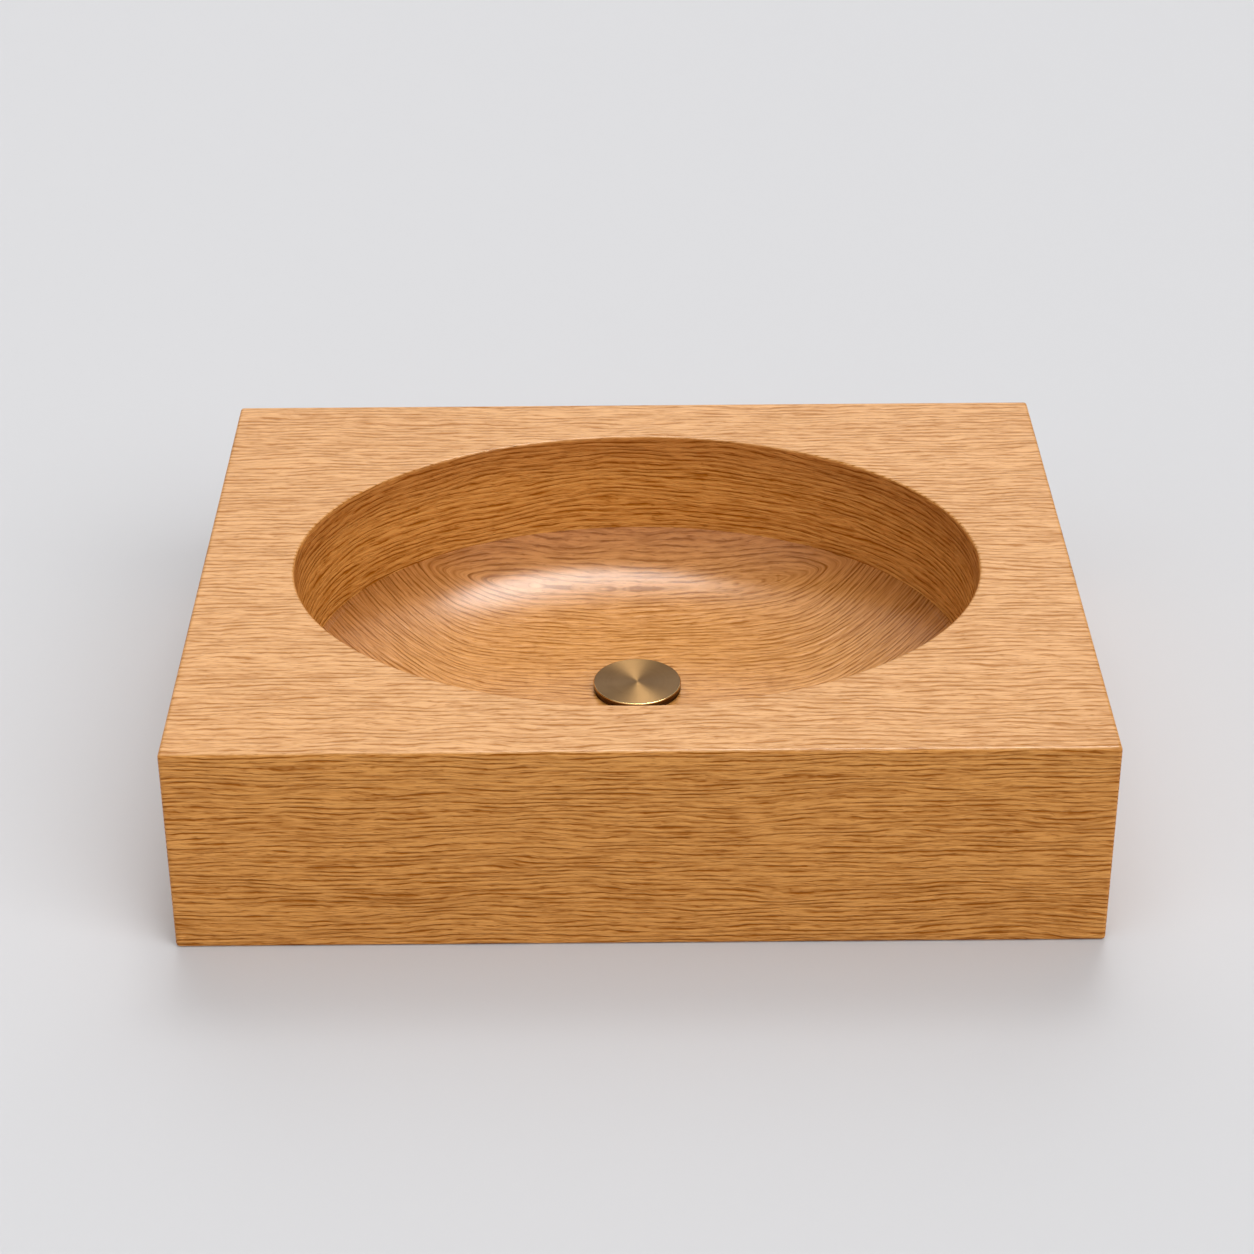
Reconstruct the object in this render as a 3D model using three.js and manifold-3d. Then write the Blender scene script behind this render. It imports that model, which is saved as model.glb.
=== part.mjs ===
// Countertop vessel basin: a mitred oak case with an oval bowl and a click-clack waste.
// Millimetres, +X along the width, +Y to the back, +Z up, origin under the bowl's centre on the base.
import * as THREE from "three";
import { mergeVertices } from "three/addons/utils/BufferGeometryUtils.js";
import { RoundedBoxGeometry } from "three/addons/geometries/RoundedBoxGeometry.js";
import Module from "manifold-3d";

const wasm = await Module();
wasm.setup();

// ---------------------------------------------------------------- driving dimensions

// Case
const WIDTH = 550;
const DEPTH = 450;
const HEIGHT = 135;
const BOARD = 20; // deck and aprons
const BASE_BOARD = 15;
const EDGE_RADIUS = 2.5; // every outer arris
const GLUE_GAP = 0.3; // between pieces cut to each other
const CORNER_BLOCK_LEG = 34;

// Bowl
const MOUTH_MARGIN_X = 58; // deck left beside the mouth
const MOUTH_MARGIN_Y = 51; // deck left before and behind the mouth
const MOUTH_ROUND = 2; // round-over of the bowl's arris
const WALL_HEIGHT = 67; // deck surface down to the seam
const WALL_LEAN = 7; // how far the wall comes in over that height, at the bowl's ends
const WALL_THICKNESS = 14;
const FLOOR_AT_DRAIN = 40; // height of the flat round the drain
const FLAT_RADIUS = 40; // flat round the drain, along X
const DISH_POWER = 3.6; // how the dish steepens towards the seam
const DISH_STEPS = 10;
const BLOCK_RIM = 15; // straight edge of the floor block under the seam
const BLOCK_FOOT_INSET = 44; // taper of the floor block from its rim to its foot
const OVAL_SEGMENTS = 80;

// Waste
const TAIL_RADIUS = 20.8; // G1 1/4 tail
const TAIL_WALL = 2.4;
const TAIL_END = 1; // height of the tail's end over the base
const DRAIN_CLEARANCE = 1.7; // tail in the bore of the bowl floor
const FLANGE_SEAT = 5; // how far the flange reaches past that bore
const FLANGE = 2;
const SEAT_CLEARANCE = 0.7; // flange in its counterbore
const SEAT_DEPTH = 2.4;
const GASKET = 1.2;
const GASKET_INSET = 0.4; // gasket's rim inside the flange's rim
const MOUTH_CONE = 2.2; // chamfer in the flange that the seal closes on
const CAP_OVERHANG = 1; // cap past the flange
const CAP = 3;
const CAP_BEVEL = 0.7;
const CAP_LIFT = 1.3; // gap from the flange to the shut cap
const CAP_BOSS_WALL = 3.2;
const CAP_BOSS = 6;
const CAP_TRAVEL = 9;
const SEAL_OVERLAP = 1.1; // seal past the tail's bore
const SEAL_WIDTH = 3;
const SEAL = 3;
const SEAL_GROOVE = 1;
const SEAL_TAPER = 0.8;
const SEAL_FIT = 0.2; // slack of the ring in its groove
const RING_REACH = 8.2; // lower gasket and slip washer past the tail
const LOWER_GASKET = 2.6;
const SLIP_WASHER = 1.4;
const NUT = 7.6;
const NUT_WALL = 5.2; // from the tail to the nut's flats
const NUT_ACCESS = 20; // finger room round the nut in the base board
const THREAD_GAP = 0.3;
const ROUND_SEGMENTS = 48;

// Press cartridge in the waste
const SLEEVE_BORE = 5;
const SLEEVE_WALL = 2;
const SLEEVE_TOP = 33;
const SLEEVE_END = 4;
const SLEEVE_LIP = 3;
const BOSS_WALL = 2.2;
const BOSS = 6;
const BOSS_TOP = 26;
const ARMS = 3;
const ARM_WIDTH = 4;
const ARM_HEIGHT = 4;
const COLLAR_STEP = 2;
const COLLAR = 2.5;
const RIB_DEPTH = 0.8; // guide ribs in the sleeve's bore
const RIB_WIDTH = 1.6;
const STEM_RADIUS = 3;
const STEM_INTO_CAP = 5;
const HEAD = 3.5;
const STOP_CLEARANCE = 0.6; // head to sleeve lip with the cap fully up
const TOOTH_HEIGHT = 1.2;
const TOOTH_WIDTH = 2.4;
const ROTOR = 2.4;
const LUG_WIDTH = 2;
const LUG_RELIEF = 0.1; // the lugs' corners stay inside the bore
const RUNNING_GAP = 0.3;
const PLUG = 2.5;
const PLUG_VENT = 1.2;
const SPRING_WIRE = 0.7;
const SPRING_INSET = 1; // wire's centre inside the ribs
const SPRING_TURNS = 4.5;
const SPRING_STEPS = 10; // steps in each turn
const SMALL_SEGMENTS = 24;

// Screws, base board into corner blocks
const SCREW_INSET = 11; // from the aprons' inner faces
const SCREW_HEAD_RADIUS = 4;
const SCREW_HEAD = 2.8;
const SCREW_RADIUS = 2;
const SCREW_LENGTH = 35;
const RECESS_LENGTH = 4;
const RECESS_WIDTH = 0.9;
const RECESS_DEPTH = 1.4;

// ---------------------------------------------------------------- worked-out places

const MOUTH_A = WIDTH / 2 - MOUTH_MARGIN_X; // half length of the mouth
const MOUTH_B = DEPTH / 2 - MOUTH_MARGIN_Y; // half width of the mouth
const OVAL = MOUTH_B / MOUTH_A; // Y scale that turns a round profile into the oval
const SEAM_Z = HEIGHT - WALL_HEIGHT;
const SEAM_A = MOUTH_A - WALL_LEAN;
const LEAN = WALL_LEAN / WALL_HEIGHT;

const TAIL_BORE = TAIL_RADIUS - TAIL_WALL;
const DRAIN_BORE_RADIUS = TAIL_RADIUS + DRAIN_CLEARANCE;
const FLANGE_RADIUS = DRAIN_BORE_RADIUS + FLANGE_SEAT;
const SEAT_RADIUS = FLANGE_RADIUS + SEAT_CLEARANCE;
const SEAT_Z = FLOOR_AT_DRAIN - SEAT_DEPTH;
const FLANGE_Z = SEAT_Z + GASKET;
const FLANGE_TOP = FLANGE_Z + FLANGE;
const CAP_RADIUS = FLANGE_RADIUS + CAP_OVERHANG;
const CAP_Z = FLANGE_TOP + CAP_LIFT;
const CAP_BOSS_RADIUS = STEM_RADIUS + THREAD_GAP + CAP_BOSS_WALL;
const SEAL_RADIUS = TAIL_BORE + SEAL_OVERLAP;
const SEAL_INNER = SEAL_RADIUS - SEAL_WIDTH;
const SEAL_TOP = CAP_Z + SEAL_GROOVE;
const NUT_BORE = TAIL_RADIUS + THREAD_GAP;
const NUT_FLATS = 2 * (TAIL_RADIUS + NUT_WALL);
const NUT_CORNER = NUT_FLATS / Math.sqrt(3);
const RING_RADIUS = TAIL_RADIUS + RING_REACH;
const WASHER_Z = BASE_BOARD - LOWER_GASKET - SLIP_WASHER;
const ACCESS_HOLE_RADIUS = NUT_CORNER + NUT_ACCESS;

const SLEEVE_RADIUS = SLEEVE_BORE + SLEEVE_WALL;
const COLLAR_RADIUS = SLEEVE_RADIUS + COLLAR_STEP;
const BOSS_BORE = SLEEVE_RADIUS + THREAD_GAP;
const BOSS_RADIUS = BOSS_BORE + BOSS_WALL;
const RIB_RADIUS = SLEEVE_BORE - RIB_DEPTH;
const SPRING_RADIUS = RIB_RADIUS - SPRING_INSET;
const STEM_TOP = CAP_Z - CAP_BOSS + STEM_INTO_CAP;
const LIP_Z = SLEEVE_TOP - SLEEVE_LIP;
const HEAD_TOP = LIP_Z - CAP_TRAVEL - STOP_CLEARANCE;
const HEAD_Z = HEAD_TOP - HEAD;
const HEAD_RADIUS = SLEEVE_BORE - RUNNING_GAP;
const ROTOR_TOP = HEAD_Z - RUNNING_GAP; // tips of its ridges, lowered clear of the head so that it can turn
const LUG_TOP = ROTOR_TOP - TOOTH_HEIGHT;
const ROTOR_Z = LUG_TOP - ROTOR;
const RIB_Z = HEAD_Z + RUNNING_GAP; // lower ends of the ribs, over the rotor's lugs
const PLUG_TOP = SLEEVE_END + PLUG;

// ---------------------------------------------------------------- helpers

const flat = (color, roughness, metalness) =>
  new THREE.MeshStandardMaterial({ color, roughness, metalness });
const oak = () => flat(0xd9a468, 0.55, 0);
const oakWall = () => flat(0xb67e42, 0.55, 0);
const oakEdge = () => flat(0xc08a4e, 0.55, 0);
const bronze = () => flat(0x9a7448, 0.35, 1);
const brass = () => flat(0xc09a55, 0.3, 1);
const steel = () => flat(0xb8babd, 0.3, 1);
const rubber = () => flat(0x1c1c1d, 0.85, 0);
const plastic = () => flat(0xe6e4de, 0.5, 0);

// A closed three.js geometry as a solid that can be cut and joined.
function solid(geometry) {
  const bare = geometry.clone();
  bare.deleteAttribute("normal");
  bare.deleteAttribute("uv");
  const merged = mergeVertices(bare, 1e-4);
  return new wasm.Manifold(
    new wasm.Mesh({
      numProp: 3,
      vertProperties: merged.attributes.position.array,
      triVerts: new Uint32Array(merged.index.array),
    }),
  );
}

const group = new THREE.Group();

// Adds a solid or a geometry to the group as a named piece.
function piece(name, shape, material) {
  let geometry = shape;
  if (!shape.isBufferGeometry) {
    const out = shape.getMesh();
    geometry = new THREE.BufferGeometry();
    geometry.setAttribute("position", new THREE.BufferAttribute(out.vertProperties, 3));
    geometry.setIndex(new THREE.BufferAttribute(out.triVerts, 1));
    geometry.computeVertexNormals();
  }
  const mesh = new THREE.Mesh(geometry, material);
  mesh.name = name;
  group.add(mesh);
  return mesh;
}

function box(x0, y0, z0, x1, y1, z1) {
  const shape = new THREE.BoxGeometry(x1 - x0, y1 - y0, z1 - z0);
  return solid(shape.translate((x0 + x1) / 2, (y0 + y1) / 2, (z0 + z1) / 2));
}

// A profile of [radius, height] pairs turned about Z. It starts and ends on the axis or closes on itself.
function turned(profile, segments = ROUND_SEGMENTS) {
  const points = profile.map(([radius, z]) => new THREE.Vector2(radius, z));
  return new THREE.LatheGeometry(points, segments).rotateX(Math.PI / 2);
}

// A ring or tube of rectangular section.
function ring(inner, outer, z0, z1, segments = ROUND_SEGMENTS) {
  return turned([[inner, z0], [outer, z0], [outer, z1], [inner, z1], [inner, z0]], segments);
}

function disc(radius, z0, z1, segments = ROUND_SEGMENTS) {
  return turned([[0, z0], [radius, z0], [radius, z1], [0, z1]], segments);
}

// A turned profile squeezed along Y into the bowl's oval. Radii are measured along X.
function oval(profile) {
  return solid(turned(profile, OVAL_SEGMENTS).scale(1, OVAL, 1));
}

// An outline of [x, y] pairs extruded along Z.
function prism(outline, z0, z1) {
  const shape = new THREE.Shape(outline.map(([x, y]) => new THREE.Vector2(x, y)));
  const body = new THREE.ExtrudeGeometry(shape, { depth: z1 - z0, bevelEnabled: false });
  return solid(body.translate(0, 0, z0));
}

// An outline of [across, z] pairs extruded along X, or along Y with its first value as x.
function bar(outline, length, alongX) {
  const shape = new THREE.Shape(outline.map(([across, z]) => new THREE.Vector2(across, z)));
  const body = new THREE.ExtrudeGeometry(shape, { depth: length, bevelEnabled: false });
  body.translate(0, 0, -length / 2).rotateX(Math.PI / 2);
  return solid(alongX ? body.rotateZ(Math.PI / 2) : body);
}

// ---------------------------------------------------------------- oak case

const envelope = solid(
  new RoundedBoxGeometry(WIDTH, DEPTH, HEIGHT, 3, EDGE_RADIUS).translate(0, 0, HEIGHT / 2),
);

// Inner line of the bowl wall at a height.
const wallAt = (z) => MOUTH_A - (HEIGHT - z) * LEAN;

// The space in the bowl above the seam, with the round-over of its arris.
function bowlSpace() {
  const arc = [];
  const steps = 3;
  for (let i = 0; i <= steps; i++) {
    const turn = (i / steps) * (Math.PI / 2);
    arc.push([
      MOUTH_A + MOUTH_ROUND * (1 - Math.cos(turn)) - MOUTH_ROUND * LEAN * (1 - Math.sin(turn)),
      HEIGHT - MOUTH_ROUND * (1 - Math.sin(turn)),
    ]);
  }
  return oval([[0, SEAM_Z - 1], [wallAt(SEAM_Z - 1), SEAM_Z - 1], ...arc,
    [MOUTH_A + MOUTH_ROUND, HEIGHT + 1], [0, HEIGHT + 1]]);
}

// The wall band's outside filled to the axis: it stands on the seam and is mitred to the deck at its top.
// The glue gap widens it for the cut in the deck.
function wallBlank(foot, gap) {
  const deckUnder = HEIGHT - BOARD;
  return oval([
    [0, foot],
    [wallAt(foot) + WALL_THICKNESS + gap, foot],
    [wallAt(deckUnder) + WALL_THICKNESS + gap, deckUnder],
    [MOUTH_A + gap, HEIGHT],
    [0, HEIGHT],
  ]);
}

// Deck: mitred down to its underside on all four edges, with the oval mouth cut out.
function deckBoard() {
  const trapezoid = (length) => [
    [-length / 2, HEIGHT],
    [-length / 2 + BOARD, HEIGHT - BOARD],
    [length / 2 - BOARD, HEIGHT - BOARD],
    [length / 2, HEIGHT],
  ];
  const across = bar(trapezoid(DEPTH), WIDTH, true);
  const along = bar(trapezoid(WIDTH), DEPTH, false);
  const mouth = wallBlank(HEIGHT - 2 * BOARD, GLUE_GAP).add(bowlSpace());
  return across.intersect(along).subtract(mouth).intersect(envelope);
}

// Apron of a given length, its outer face at -reach in Y: mitred to the deck and to its neighbours.
function apron(length, reach) {
  const section = [
    [-reach, 0],
    [-reach + BOARD, 0],
    [-reach + BOARD, HEIGHT - BOARD - GLUE_GAP],
    [-reach, HEIGHT - GLUE_GAP],
  ];
  const half = length / 2 - GLUE_GAP / 2;
  const plan = [
    [-half, -reach],
    [half, -reach],
    [half - BOARD, -reach + BOARD],
    [-half + BOARD, -reach + BOARD],
  ];
  return bar(section, length, true).intersect(prism(plan, 0, HEIGHT));
}

piece("deck_board", deckBoard(), oak());
const APRONS = [
  ["front_apron", WIDTH, DEPTH / 2, 0],
  ["right_apron", DEPTH, WIDTH / 2, 90],
  ["back_apron", WIDTH, DEPTH / 2, 180],
  ["left_apron", DEPTH, WIDTH / 2, -90],
];
for (const [name, length, reach, turn] of APRONS)
  piece(name, apron(length, reach).rotate([0, 0, turn]).intersect(envelope), oakEdge());

// Inside of the aprons, where the base board and the corner blocks fit.
const INNER_X = WIDTH / 2 - BOARD;
const INNER_Y = DEPTH / 2 - BOARD;
const CORNERS = [[-1, -1], [1, -1], [1, 1], [-1, 1]];
const SCREW_PLACES = CORNERS.map(([sx, sy]) => [
  sx * (INNER_X - SCREW_INSET),
  sy * (INNER_Y - SCREW_INSET),
]);

// Room for a screw: its countersink and its shank, with a clearance all round.
function screwHole(x, y) {
  const head = SCREW_HEAD_RADIUS + RUNNING_GAP;
  const shank = SCREW_RADIUS + RUNNING_GAP;
  return solid(turned([
    [0, -1],
    [head, -1],
    [head, 0],
    [shank, SCREW_HEAD],
    [shank, SCREW_LENGTH + 1],
    [0, SCREW_LENGTH + 1],
  ], SMALL_SEGMENTS)).translate([x, y, 0]);
}

function baseBoard() {
  const x = INNER_X - GLUE_GAP;
  const y = INNER_Y - GLUE_GAP;
  const holes = SCREW_PLACES.map(([sx, sy]) => screwHole(sx, sy));
  const access = solid(disc(ACCESS_HOLE_RADIUS, -1, BASE_BOARD + 1));
  return holes.reduce((board, hole) => board.subtract(hole), box(-x, -y, 0, x, y, BASE_BOARD))
    .subtract(access);
}

piece("base_board", baseBoard(), oakEdge());

// Triangular glue block in a mitred corner, on the base board and under the deck.
function cornerBlock(sx, sy) {
  const x = sx * (INNER_X - GLUE_GAP);
  const y = sy * (INNER_Y - GLUE_GAP);
  const outline = [[x, y], [x - sx * CORNER_BLOCK_LEG, y], [x, y - sy * CORNER_BLOCK_LEG]];
  return prism(outline, BASE_BOARD, HEIGHT - BOARD);
}

// Countersunk wood screw, head down, with a cross recess.
function baseScrew() {
  const body = solid(turned([
    [0, 0],
    [SCREW_HEAD_RADIUS, 0],
    [SCREW_RADIUS, SCREW_HEAD],
    [SCREW_RADIUS, SCREW_LENGTH - SCREW_RADIUS * 2],
    [0, SCREW_LENGTH],
  ], SMALL_SEGMENTS));
  const long = RECESS_LENGTH / 2;
  const wide = RECESS_WIDTH / 2;
  return body
    .subtract(box(-long, -wide, -1, long, wide, RECESS_DEPTH))
    .subtract(box(-wide, -long, -1, wide, long, RECESS_DEPTH));
}

SCREW_PLACES.forEach(([x, y], i) => {
  const block = cornerBlock(...CORNERS[i]).subtract(screwHole(x, y));
  piece(`corner_block_${i + 1}`, block, oakEdge());
  piece(`base_screw_${i + 1}`, baseScrew().translate([x, y, 0]), steel());
});

// ---------------------------------------------------------------- bowl

piece("bowl_wall", wallBlank(SEAM_Z, 0).subtract(bowlSpace()), oakWall());

// The dished block: flat round the drain, then rising to the seam.
function bowlFloor() {
  const dish = [];
  for (let i = 0; i <= DISH_STEPS; i++) {
    const share = i / DISH_STEPS;
    const radius = FLAT_RADIUS + (SEAM_A - FLAT_RADIUS) * share;
    dish.push([radius, FLOOR_AT_DRAIN + (SEAM_Z - FLOOR_AT_DRAIN) * share ** DISH_POWER]);
  }
  const outer = SEAM_A + WALL_THICKNESS;
  const block = oval([
    [0, BASE_BOARD],
    [outer - BLOCK_FOOT_INSET, BASE_BOARD],
    [outer, SEAM_Z - BLOCK_RIM],
    [outer, SEAM_Z],
    ...dish.reverse(),
    [0, FLOOR_AT_DRAIN],
  ]);
  const bore = solid(disc(DRAIN_BORE_RADIUS, BASE_BOARD - 1, SEAM_Z));
  const seat = solid(disc(SEAT_RADIUS, SEAT_Z, SEAM_Z));
  return block.subtract(bore).subtract(seat);
}

piece("bowl_floor", bowlFloor(), oak());

// ---------------------------------------------------------------- waste

// Flange with a chamfered mouth, tail, and a cross bar that carries the boss.
function wasteBody() {
  const shell = solid(turned([
    [TAIL_BORE, TAIL_END],
    [TAIL_RADIUS, TAIL_END],
    [TAIL_RADIUS, FLANGE_Z],
    [FLANGE_RADIUS, FLANGE_Z],
    [FLANGE_RADIUS, FLANGE_TOP],
    [TAIL_BORE + MOUTH_CONE, FLANGE_TOP],
    [TAIL_BORE, FLANGE_TOP - MOUTH_CONE],
    [TAIL_BORE, TAIL_END],
  ]));
  let body = shell.add(solid(disc(BOSS_RADIUS, BOSS_TOP - BOSS, BOSS_TOP, SMALL_SEGMENTS)));
  for (let i = 0; i < ARMS; i++) {
    const reach = TAIL_BORE + TAIL_WALL / 2;
    const half = ARM_WIDTH / 2;
    const arm = box(0, -half, BOSS_TOP - BOSS, reach, half, BOSS_TOP - BOSS + ARM_HEIGHT);
    body = body.add(arm.rotate([0, 0, (360 / ARMS) * i + 90]));
  }
  const bore = disc(BOSS_BORE, BOSS_TOP - BOSS - 1, BOSS_TOP + 1, SMALL_SEGMENTS);
  return body.subtract(solid(bore));
}

piece("waste_body", wasteBody(), brass());
piece("flange_gasket", ring(DRAIN_BORE_RADIUS, FLANGE_RADIUS - GASKET_INSET, SEAT_Z, FLANGE_Z), rubber());
piece("lower_gasket", ring(NUT_BORE, RING_RADIUS, BASE_BOARD - LOWER_GASKET, BASE_BOARD), rubber());
piece("slip_washer", ring(NUT_BORE, RING_RADIUS, WASHER_Z, WASHER_Z + SLIP_WASHER), plastic());

// Hexagon nut with its corners turned off below.
function backNut() {
  const flats = NUT_FLATS / 2;
  const outside = NUT_CORNER + 1;
  const blank = solid(disc(NUT_CORNER, WASHER_Z - NUT, WASHER_Z, 6));
  const chamfer = solid(turned([
    [0, WASHER_Z - NUT],
    [flats, WASHER_Z - NUT],
    [outside, WASHER_Z - NUT + (outside - flats) / 2],
    [outside, WASHER_Z],
    [0, WASHER_Z],
  ]));
  return blank.intersect(chamfer).subtract(solid(disc(NUT_BORE, 0, BASE_BOARD)));
}

piece("back_nut", backNut(), brass());

// Cover disc with a bevelled rim, a groove for its seal and a threaded boss underneath.
function drainCap() {
  const bossEnd = CAP_Z - CAP_BOSS;
  const top = CAP_Z + CAP;
  return turned([
    [0, bossEnd + STEM_INTO_CAP + RUNNING_GAP],
    [STEM_RADIUS + THREAD_GAP, bossEnd + STEM_INTO_CAP + RUNNING_GAP],
    [STEM_RADIUS + THREAD_GAP, bossEnd],
    [CAP_BOSS_RADIUS, bossEnd],
    [CAP_BOSS_RADIUS, CAP_Z],
    [SEAL_INNER, CAP_Z],
    [SEAL_INNER, SEAL_TOP],
    [SEAL_RADIUS, SEAL_TOP],
    [SEAL_RADIUS, CAP_Z],
    [CAP_RADIUS, CAP_Z],
    [CAP_RADIUS, top - CAP_BEVEL],
    [CAP_RADIUS - CAP_BEVEL, top],
    [0, top],
  ]);
}

piece("drain_cap", drainCap(), bronze());

// Rubber ring pressed into the cap's groove, its lower edge tapered to meet the flange's mouth.
piece("cap_seal", turned([
  [SEAL_INNER + SEAL_FIT, SEAL_TOP - SEAL],
  [SEAL_RADIUS - SEAL_TAPER, SEAL_TOP - SEAL],
  [SEAL_RADIUS - SEAL_FIT, SEAL_TOP - SEAL + SEAL_TAPER],
  [SEAL_RADIUS - SEAL_FIT, SEAL_TOP],
  [SEAL_INNER + SEAL_FIT, SEAL_TOP],
  [SEAL_INNER + SEAL_FIT, SEAL_TOP - SEAL],
]), rubber());

// ---------------------------------------------------------------- press cartridge

// Four of the same thing at right angles, joined to or cut from a body.
function atQuarters(shape, offset = 0) {
  const turns = [0, 90, 180, 270].map((angle) => shape.rotate([0, 0, angle + offset]));
  return turns.reduce((all, one) => all.add(one));
}

// A radial bar between two radii: a guide rib, a slot for one, or a lug.
const radialBar = (inner, outer, width, z0, z1) => box(inner, -width / 2, z0, outer, width / 2, z1);

// Sleeve: stands in the boss on its collar. A lip at its top guides the stem, and four ribs in its bore
// guide the plunger's head and hold the rotor's lugs.
function cartridgeSleeve() {
  const tube = solid(turned([
    [SLEEVE_BORE, SLEEVE_END],
    [SLEEVE_RADIUS, SLEEVE_END],
    [SLEEVE_RADIUS, BOSS_TOP],
    [COLLAR_RADIUS, BOSS_TOP],
    [COLLAR_RADIUS, BOSS_TOP + COLLAR],
    [SLEEVE_RADIUS, BOSS_TOP + COLLAR],
    [SLEEVE_RADIUS, SLEEVE_TOP],
    [STEM_RADIUS + RUNNING_GAP, SLEEVE_TOP],
    [STEM_RADIUS + RUNNING_GAP, LIP_Z],
    [SLEEVE_BORE, LIP_Z],
    [SLEEVE_BORE, SLEEVE_END],
  ], SMALL_SEGMENTS));
  const outer = (SLEEVE_BORE + SLEEVE_RADIUS) / 2;
  return tube.add(atQuarters(radialBar(RIB_RADIUS, outer, RIB_WIDTH, RIB_Z, LIP_Z + 1)));
}

piece("cartridge_sleeve", cartridgeSleeve(), brass());

// Two crossed V ridges, the face cam of the press action. The swell makes them a cutter for their groove.
function crossedRidges(tip, swell) {
  const ridge = (alongX) => bar([
    [-TOOTH_WIDTH / 2 - swell, tip - TOOTH_HEIGHT - swell],
    [TOOTH_WIDTH / 2 + swell, tip - TOOTH_HEIGHT - swell],
    [0, tip + swell],
  ], SLEEVE_BORE * 2, alongX);
  return ridge(true).add(ridge(false));
}

// Stem that screws into the cap, on a slotted head that slides on the ribs.
function plunger() {
  const body = solid(turned([
    [0, HEAD_Z],
    [HEAD_RADIUS, HEAD_Z],
    [HEAD_RADIUS, HEAD_TOP],
    [STEM_RADIUS, HEAD_TOP],
    [STEM_RADIUS, STEM_TOP],
    [0, STEM_TOP],
  ], SMALL_SEGMENTS));
  const slot = radialBar(RIB_RADIUS - RUNNING_GAP, SLEEVE_BORE + 1, RIB_WIDTH + 2 * RUNNING_GAP,
    HEAD_Z - 1, HEAD_TOP + 1);
  return body.subtract(atQuarters(slot)).subtract(crossedRidges(HEAD_Z + TOOTH_HEIGHT, RUNNING_GAP));
}

piece("plunger", plunger(), brass());

// Rotor: a core with the ridges on top and four lugs that pass between the ribs.
function ratchetRotor() {
  const radius = RIB_RADIUS - RUNNING_GAP;
  const core = solid(disc(radius, ROTOR_Z, LUG_TOP, SMALL_SEGMENTS));
  const rim = solid(disc(radius, ROTOR_Z, ROTOR_TOP, SMALL_SEGMENTS));
  const lugs = atQuarters(radialBar(1, HEAD_RADIUS - LUG_RELIEF, LUG_WIDTH, ROTOR_Z, LUG_TOP), 45);
  return core.add(lugs).add(crossedRidges(ROTOR_TOP, 0).intersect(rim));
}

piece("ratchet_rotor", ratchetRotor(), plastic());

piece("cartridge_plug", ring(PLUG_VENT, SLEEVE_BORE - RUNNING_GAP, SLEEVE_END, PLUG_TOP, SMALL_SEGMENTS),
  brass());

// Helix between the plug and the rotor.
class Coil extends THREE.Curve {
  getPoint(share, target = new THREE.Vector3()) {
    const angle = share * SPRING_TURNS * 2 * Math.PI;
    const low = PLUG_TOP + SPRING_WIRE;
    const high = ROTOR_Z - SPRING_WIRE;
    const z = low + (high - low) * share;
    return target.set(SPRING_RADIUS * Math.cos(angle), SPRING_RADIUS * Math.sin(angle), z);
  }
}

const wire = new THREE.Shape().absarc(0, 0, SPRING_WIRE / 2, 0, 2 * Math.PI);
piece("return_spring", new THREE.ExtrudeGeometry(wire, {
  steps: Math.round(SPRING_TURNS * SPRING_STEPS),
  curveSegments: 3,
  extrudePath: new Coil(),
}), steel());

export default group;
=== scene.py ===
# %% [markdown]
# # An oak vessel basin
#
# A countertop basin is a box of oak boards with an oval bowl let into its top. The deck and the four
# aprons are mitred to each other, a bent wall ring lines the mouth, and a dished block makes the floor
# with the waste in its middle. This lesson keeps the measured model as a fixed frame and makes the
# pieces that the eye sees around it, in metres, each where the frame says.
#
# First come the sizes and the camera. Then the order is the maker's own: one rounded blank that all
# boards are sawn from, the bowl, the cap and the waste, the base board, and then the finishes. The floor
# and the lights come last.

import math

import bpy
from mathutils import Euler, Matrix, Vector


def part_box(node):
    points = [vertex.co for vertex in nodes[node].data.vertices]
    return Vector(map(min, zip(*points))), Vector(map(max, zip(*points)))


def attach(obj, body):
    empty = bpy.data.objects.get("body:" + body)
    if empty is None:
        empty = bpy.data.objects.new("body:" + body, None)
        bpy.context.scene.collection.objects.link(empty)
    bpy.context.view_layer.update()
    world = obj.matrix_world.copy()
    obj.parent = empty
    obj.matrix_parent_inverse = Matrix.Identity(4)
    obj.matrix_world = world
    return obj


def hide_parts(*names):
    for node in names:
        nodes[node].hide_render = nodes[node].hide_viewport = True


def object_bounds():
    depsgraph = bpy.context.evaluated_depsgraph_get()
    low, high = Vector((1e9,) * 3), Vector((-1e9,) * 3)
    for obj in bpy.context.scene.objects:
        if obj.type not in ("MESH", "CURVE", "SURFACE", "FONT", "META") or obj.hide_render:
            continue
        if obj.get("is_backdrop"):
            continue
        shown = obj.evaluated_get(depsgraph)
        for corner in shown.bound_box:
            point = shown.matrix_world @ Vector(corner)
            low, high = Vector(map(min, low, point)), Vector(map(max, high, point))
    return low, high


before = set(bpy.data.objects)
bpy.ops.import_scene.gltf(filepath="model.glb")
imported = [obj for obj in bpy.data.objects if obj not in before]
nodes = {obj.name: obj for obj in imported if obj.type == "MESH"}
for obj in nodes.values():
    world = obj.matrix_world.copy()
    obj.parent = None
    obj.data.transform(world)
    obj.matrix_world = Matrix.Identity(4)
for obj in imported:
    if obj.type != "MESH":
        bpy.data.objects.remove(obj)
cad_low, cad_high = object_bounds()
print("frame:", len(nodes), "pieces,", [round(1000 * s) for s in cad_high - cad_low], "mm")

# %% [markdown]
# ## Sizes taken from the frame
#
# A board's thickness, the seam's height or the drain's place can be read from the boxes of the packed
# pieces. Reading them here, and not typing them again, keeps the looks and the measured model together.
# Only what a box can't tell, such as how far an arris is rounded, is given as a value of its own.

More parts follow.
